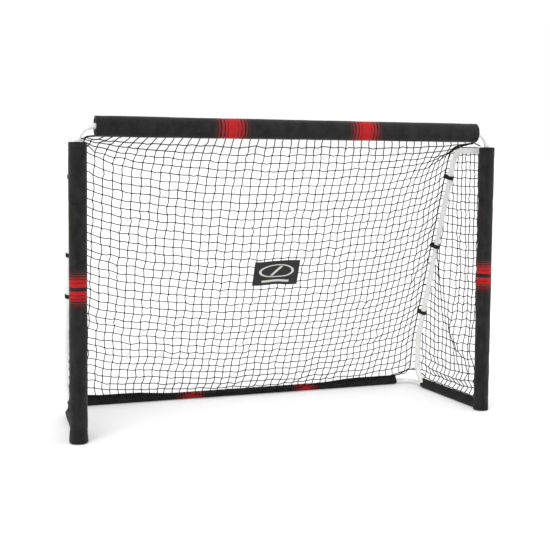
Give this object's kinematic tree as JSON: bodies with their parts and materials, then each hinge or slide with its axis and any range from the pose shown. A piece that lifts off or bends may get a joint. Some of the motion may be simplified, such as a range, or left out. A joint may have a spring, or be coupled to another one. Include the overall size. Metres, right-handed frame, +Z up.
{
  "type": "portable goal",
  "caption": "Free-standing portable goal: steel tube frame with padded posts and crossbar, fabric covered ground bars and a knotted net.",
  "frame": {"origin": "on the ground, at the middle of the goal's footprint", "axes": "+X across the goal, to the right seen from the front, +Y from the mouth to the back, +Z up; the mouth faces -Y"},
  "size_m": [2.371, 0.8344, 1.6085],
  "materials": {
    "powder": "smooth white powder coat",
    "spring": "bright spring steel",
    "plastic": "moulded black",
    "foam": "closed cell foam",
    "cloth": "coated polyester weave, black with red bands",
    "ground_cloth": "coated polyester weave, black with red bands",
    "net": "twisted polyester cord, black",
    "strap": "black hook and loop tape",
    "label": null
  },
  "bodies": {
    "frame": {"crossbar_foam": "foam", "crossbar_sleeve": "cloth", "crossbar_tube": "powder", "ground_bar_left": "powder", "ground_bar_right": "powder", "net_back": "net", "net_corner_cord_left": "net", "net_corner_cord_right": "net", "net_foot_cord_left": "net", "net_foot_cord_right": "net", "net_head_cord": "net", "net_label": "label", "net_roof": "net", "net_seam_cord": "net", "net_side_left": "net", "net_side_right": "net", "post_foam_left": "foam", "post_foam_right": "foam", "post_foot_left": "plastic", "post_foot_right": "plastic", "post_sleeve_left": "cloth", "post_sleeve_right": "cloth", "post_tube_left": "powder", "post_tube_right": "powder", "rear_bar": "powder", "rear_sleeve": "ground_cloth", "side_hoop_left": "powder", "side_hoop_right": "powder", "side_sleeve_left": "ground_cloth", "side_sleeve_right": "ground_cloth", "snap_spring_left_arm": "spring", "snap_spring_left_bar": "spring", "snap_spring_left_post": "spring", "snap_spring_right_arm": "spring", "snap_spring_right_bar": "spring", "snap_spring_right_post": "spring", "strap_left_lower": "strap", "strap_left_middle": "strap", "strap_left_upper": "strap", "strap_right_lower": "strap", "strap_right_middle": "strap", "strap_right_upper": "strap", "top_corner_left": "powder", "top_corner_right": "powder"},
    "snap_button_left_arm": {"snap_button_left_arm": "spring"},
    "snap_button_left_bar": {"snap_button_left_bar": "spring"},
    "snap_button_left_post": {"snap_button_left_post": "spring"},
    "snap_button_right_arm": {"snap_button_right_arm": "spring"},
    "snap_button_right_bar": {"snap_button_right_bar": "spring"},
    "snap_button_right_post": {"snap_button_right_post": "spring"}
  },
  "joints": [
    {"name": "snap_button_left_arm_press", "type": "slide", "parent": "frame", "child": "snap_button_left_arm", "axis": [0, 0, 1], "range_m": [0, 0.0045], "stiffness_N_per_m": 1500},
    {"name": "snap_button_left_bar_press", "type": "slide", "parent": "frame", "child": "snap_button_left_bar", "axis": [0, -1, 0], "range_m": [0, 0.0045], "stiffness_N_per_m": 1500},
    {"name": "snap_button_left_post_press", "type": "slide", "parent": "frame", "child": "snap_button_left_post", "axis": [0, -1, 0], "range_m": [0, 0.0045], "stiffness_N_per_m": 1500},
    {"name": "snap_button_right_arm_press", "type": "slide", "parent": "frame", "child": "snap_button_right_arm", "axis": [0, 0, 1], "range_m": [0, 0.0045], "stiffness_N_per_m": 1500},
    {"name": "snap_button_right_bar_press", "type": "slide", "parent": "frame", "child": "snap_button_right_bar", "axis": [0, -1, 0], "range_m": [0, 0.0045], "stiffness_N_per_m": 1500},
    {"name": "snap_button_right_post_press", "type": "slide", "parent": "frame", "child": "snap_button_right_post", "axis": [0, -1, 0], "range_m": [0, 0.0045], "stiffness_N_per_m": 1500}
  ]
}
